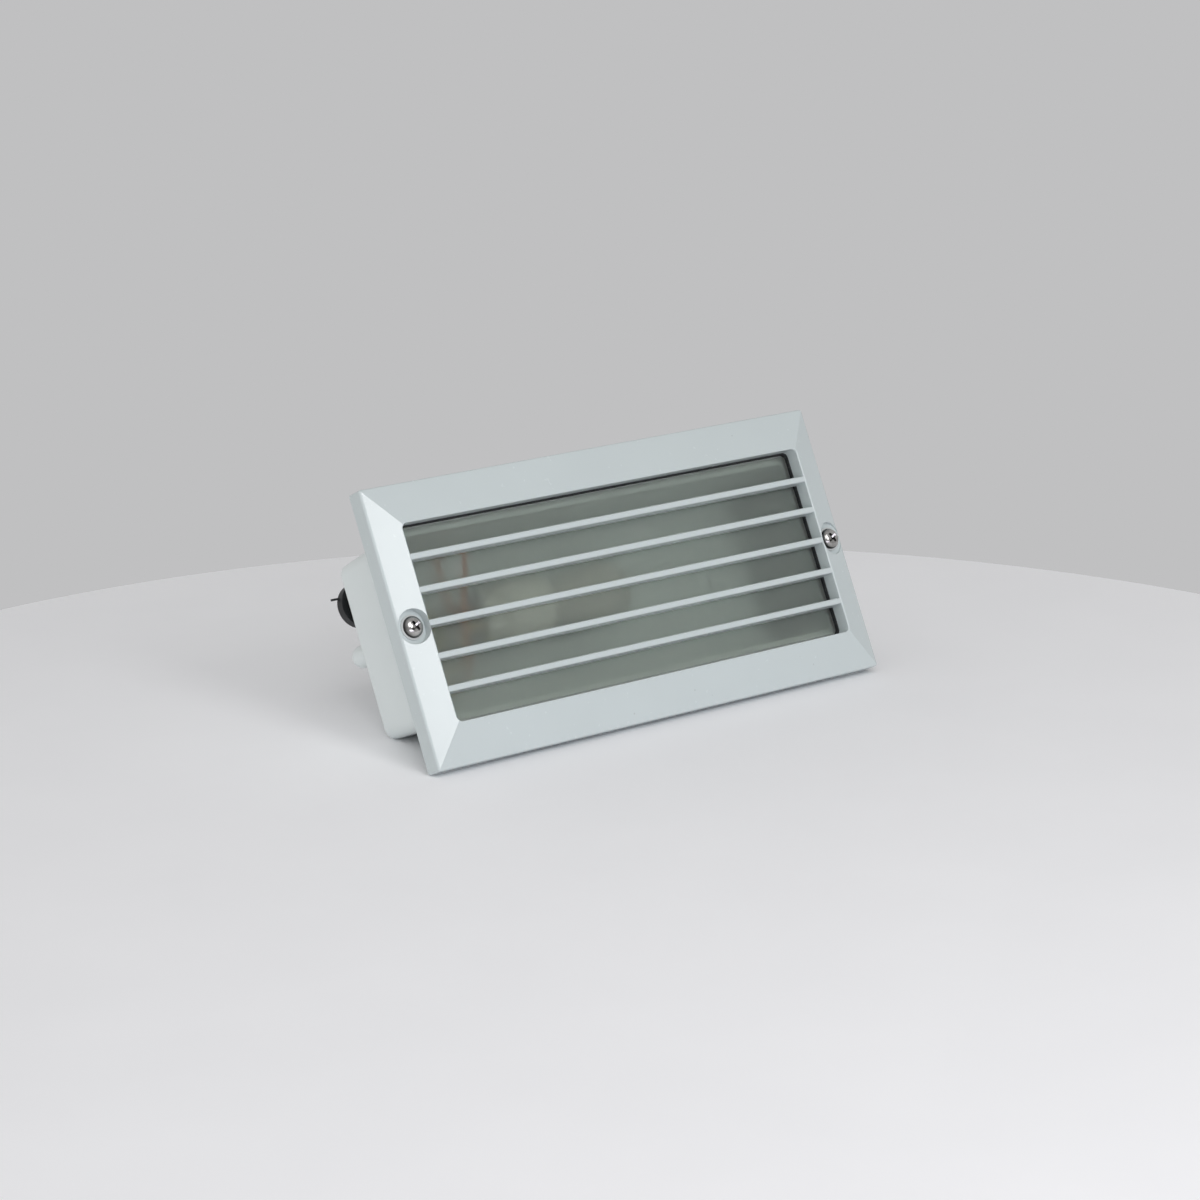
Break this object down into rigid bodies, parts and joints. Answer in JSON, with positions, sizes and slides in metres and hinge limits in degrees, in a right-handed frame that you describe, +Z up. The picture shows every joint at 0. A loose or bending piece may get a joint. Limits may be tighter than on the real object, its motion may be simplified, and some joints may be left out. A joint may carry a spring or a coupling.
{
  "type": "recessed step light",
  "caption": "Recessed rectangular step light: mitred louvred cover over frosted glass, die-cast wall box with a screw lampholder, terminal block and rear cable grommet.",
  "frame": {"origin": "centre of the face, in the plane of the wall that the cover's rim closes against", "axes": "+X along the face to the right seen from the front, +Z up the wall, +Y into the wall; the louvres face -Y"},
  "size_m": [0.24, 0.0716, 0.12],
  "materials": {
    "cover_paint": "light grey satin enamel on a die casting",
    "housing_paint": "the same light grey enamel, a little duller",
    "frosted_glass": "acid-etched, faintly green at the edges",
    "gasket_rubber": "matt black",
    "washer_nylon": "natural nylon, slightly translucent",
    "grommet_rubber": "satin black",
    "stainless_steel": "bright cold-formed stainless steel",
    "porcelain": "white glaze",
    "nickelled_brass": "thin nickel over brass",
    "spring_bronze": "bare",
    "zinc_plated_steel": "bright zinc plate",
    "clear_glass": "clear, polished",
    "lamp_cap_metal": "rolled thread, bright",
    "black_glass": "black insulating glass",
    "solder": "dull tin solder",
    "support_wire": "drawn wire",
    "tungsten": "dark coiled wire",
    "block_plastic": "ivory moulding",
    "bare_brass": "bare machined brass",
    "tinned_copper": "tin plate",
    "live_insulation": "brown insulation",
    "neutral_insulation": "ivory heat-resistant insulation",
    "earth_insulation": "green and yellow insulation"
  },
  "bodies": {
    "housing_body": {"housing": "housing_paint", "body_gasket": "gasket_rubber", "cable_grommet": "grommet_rubber", "lampholder_body": "porcelain", "lampholder_shell": "nickelled_brass", "lampholder_centre_contact": "spring_bronze", "holder_bracket": "zinc_plated_steel", "bracket_screws": "zinc_plated_steel", "holder_screws": "zinc_plated_steel", "terminal_block": "block_plastic", "terminal_barrels": "bare_brass", "terminal_clamp_screws": "zinc_plated_steel", "terminal_block_screw": "zinc_plated_steel", "earth_screw": "bare_brass", "earth_washer": "zinc_plated_steel", "earth_tag": "tinned_copper", "live_lead": "live_insulation", "neutral_lead": "neutral_insulation", "earth_lead": "earth_insulation"},
    "cover_body": {"cover": "cover_paint", "glass_gasket": "gasket_rubber", "glass_pane": "frosted_glass", "screw_washer_left": "washer_nylon", "screw_washer_right": "washer_nylon"},
    "screw_left_body": {"cover_screw_left": "stainless_steel"},
    "screw_right_body": {"cover_screw_right": "stainless_steel"},
    "lamp_body": {"lamp_glass": "clear_glass", "lamp_cap": "lamp_cap_metal", "lamp_insulator": "black_glass", "lamp_contact": "solder", "lamp_stem": "clear_glass", "lamp_support_wires": "support_wire", "lamp_filament": "tungsten"}
  },
  "joints": [
    {"name": "cover_lift_off", "type": "slide", "parent": "housing_body", "child": "cover_body", "axis": [0, -1, 0], "range_m": [0, 0.06]},
    {"name": "cover_screw_left_turn", "type": "hinge", "parent": "cover_body", "child": "screw_left_body", "pos_m": [-0.1134, -0.0087, 0], "axis": [0, 1, 0], "continuous": true},
    {"name": "cover_screw_right_turn", "type": "hinge", "parent": "cover_body", "child": "screw_right_body", "pos_m": [0.1134, -0.0087, 0], "axis": [0, 1, 0], "continuous": true},
    {"name": "lamp_turn", "type": "hinge", "parent": "housing_body", "child": "lamp_body", "pos_m": [-0.0538, 0.0217, 0.0015], "axis": [1, 0, 0], "continuous": true}
  ]
}
